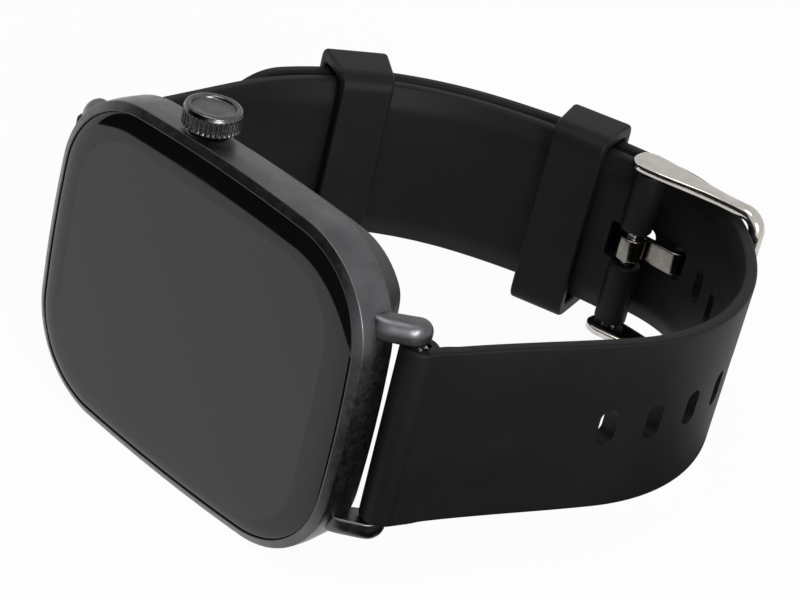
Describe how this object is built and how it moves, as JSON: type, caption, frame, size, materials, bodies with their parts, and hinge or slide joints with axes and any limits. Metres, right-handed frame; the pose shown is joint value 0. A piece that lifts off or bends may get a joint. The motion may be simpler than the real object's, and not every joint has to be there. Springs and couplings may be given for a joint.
{
  "type": "smartwatch",
  "caption": "Rounded-rectangle smartwatch with a knurled crown, worn on a black silicone strap buckled into a loop",
  "frame": {"origin": "centre of the sensor window's outer face on the back of the case", "axes": "+X to the 6 o'clock end of the case, -Y out of the display, +Z to the crown's side"},
  "size_m": [0.0675, 0.0704, 0.043],
  "materials": {
    "case_metal": "dark grey anodised aluminium, fine satin sides and polished bevels",
    "glass": "black-bordered cover glass, polished with rounded edges",
    "display": "unlit display panel",
    "bracket": "stamped steel plate",
    "board": "green circuit board with black chips",
    "cell": "foil wrapped lithium cell",
    "motor": "steel can",
    "cover_plastic": "black moulded plastic, fine matte",
    "sensor_glass": "dark tinted sensor window",
    "lights": "clear and green light emitters",
    "contact": "gold plated contacts",
    "screw": "machine screws, slotted",
    "seal": "black sealing rubber",
    "bar_steel": "stainless spring bars",
    "crown_metal": "dark anodised aluminium, knurled, polished rim",
    "silicone": "black silicone, dry satin",
    "buckle_steel": "polished stainless steel"
  },
  "bodies": {
    "case": {"case_band": "case_metal", "cover_glass": "glass", "front_gasket": "seal", "display_panel": "display", "display_bracket": "bracket", "main_board": "board", "battery": "cell", "vibration_motor": "motor", "crown_encoder": "cover_plastic", "back_cover": "cover_plastic", "back_gasket": "seal", "back_screws": "screw", "sensor_window": "sensor_glass", "sensor_board": "board", "sensor_lights": "lights", "charging_contacts": "contact", "bar12_tube": "bar_steel", "bar12_spring": "bar_steel", "bar6_tube": "bar_steel", "bar6_spring": "bar_steel"},
    "crown_carrier": {"crown_stem": "bar_steel"},
    "crown": {"crown_cap": "crown_metal", "crown_seal": "seal"},
    "bar12_crown_tip": {"bar12_tip_crown": "bar_steel"},
    "bar12_far_tip": {"bar12_tip_far": "bar_steel"},
    "bar6_crown_tip": {"bar6_tip_crown": "bar_steel"},
    "bar6_far_tip": {"bar6_tip_far": "bar_steel"},
    "buckle_crown_tip": {"buckle_bar_tip_crown": "bar_steel"},
    "buckle_far_tip": {"buckle_bar_tip_far": "bar_steel"},
    "strap_loop": {"strap_short": "silicone", "strap_long": "silicone", "buckle_bar_tube": "bar_steel", "buckle_bar_spring": "bar_steel"},
    "keeper_front": {"keeper_front": "silicone"},
    "keeper_rear": {"keeper_rear": "silicone"},
    "buckle": {"buckle_frame": "buckle_steel"},
    "tang": {"buckle_tang": "buckle_steel"}
  },
  "joints": [
    {"name": "crown_press", "type": "slide", "parent": "case", "child": "crown_carrier", "axis": [0, 0, -1], "range_m": [0, 0.00045], "stiffness_N_per_m": 3000, "springref_m": -0.0003},
    {"name": "crown_turn", "type": "hinge", "parent": "crown_carrier", "child": "crown", "pos_m": [-0.0055, -0.00743, 0.0198], "axis": [0, 0, 1], "continuous": true},
    {"name": "bar12_crown_tip_slide", "type": "slide", "parent": "case", "child": "bar12_crown_tip", "axis": [0, 0, -1], "range_m": [0, 0.0011], "stiffness_N_per_m": 250, "springref_m": -0.0015},
    {"name": "bar12_far_tip_slide", "type": "slide", "parent": "case", "child": "bar12_far_tip", "axis": [0, 0, 1], "range_m": [0, 0.0011], "stiffness_N_per_m": 250, "springref_m": -0.0015},
    {"name": "bar6_crown_tip_slide", "type": "slide", "parent": "case", "child": "bar6_crown_tip", "axis": [0, 0, -1], "range_m": [0, 0.0011], "stiffness_N_per_m": 250, "springref_m": -0.0015},
    {"name": "bar6_far_tip_slide", "type": "slide", "parent": "case", "child": "bar6_far_tip", "axis": [0, 0, 1], "range_m": [0, 0.0011], "stiffness_N_per_m": 250, "springref_m": -0.0015},
    {"name": "buckle_crown_tip_slide", "type": "slide", "parent": "strap_loop", "child": "buckle_crown_tip", "axis": [0, 0, -1], "range_m": [0, 0.0011], "stiffness_N_per_m": 250, "springref_m": -0.0015},
    {"name": "buckle_far_tip_slide", "type": "slide", "parent": "strap_loop", "child": "buckle_far_tip", "axis": [0, 0, 1], "range_m": [0, 0.0011], "stiffness_N_per_m": 250, "springref_m": -0.0015},
    {"name": "loop_swing", "type": "hinge", "parent": "case", "child": "strap_loop", "pos_m": [-0.0262, -0.0043, 0], "axis": [0, 0, 1], "range_deg": [-5, 5], "stiffness_Nm_per_rad": 0.6, "deforming": ["strap_long"]},
    {"name": "keeper_front_slide", "type": "hinge", "parent": "strap_loop", "child": "keeper_front", "pos_m": [0.00561, 0.0184, 0], "axis": [0, 0, 1], "range_deg": [-21, 20]},
    {"name": "keeper_rear_slide", "type": "hinge", "parent": "strap_loop", "child": "keeper_rear", "pos_m": [0.02111, -0.00845, 0], "axis": [0, 0, 1], "range_deg": [-2, 7]},
    {"name": "buckle_tilt", "type": "hinge", "parent": "strap_loop", "child": "buckle", "pos_m": [0.00999, 0.05335, 0], "axis": [0, 0, 1], "range_deg": [-1, 2], "stiffness_Nm_per_rad": 0.05},
    {"name": "tang_tilt", "type": "hinge", "parent": "strap_loop", "child": "tang", "pos_m": [0.00999, 0.05335, 0], "axis": [0, 0, 1], "range_deg": [-1, 2]}
  ],
  "couplings": [
    {"joint": "tang_tilt", "follows": "buckle_tilt", "ratio": 1}
  ]
}
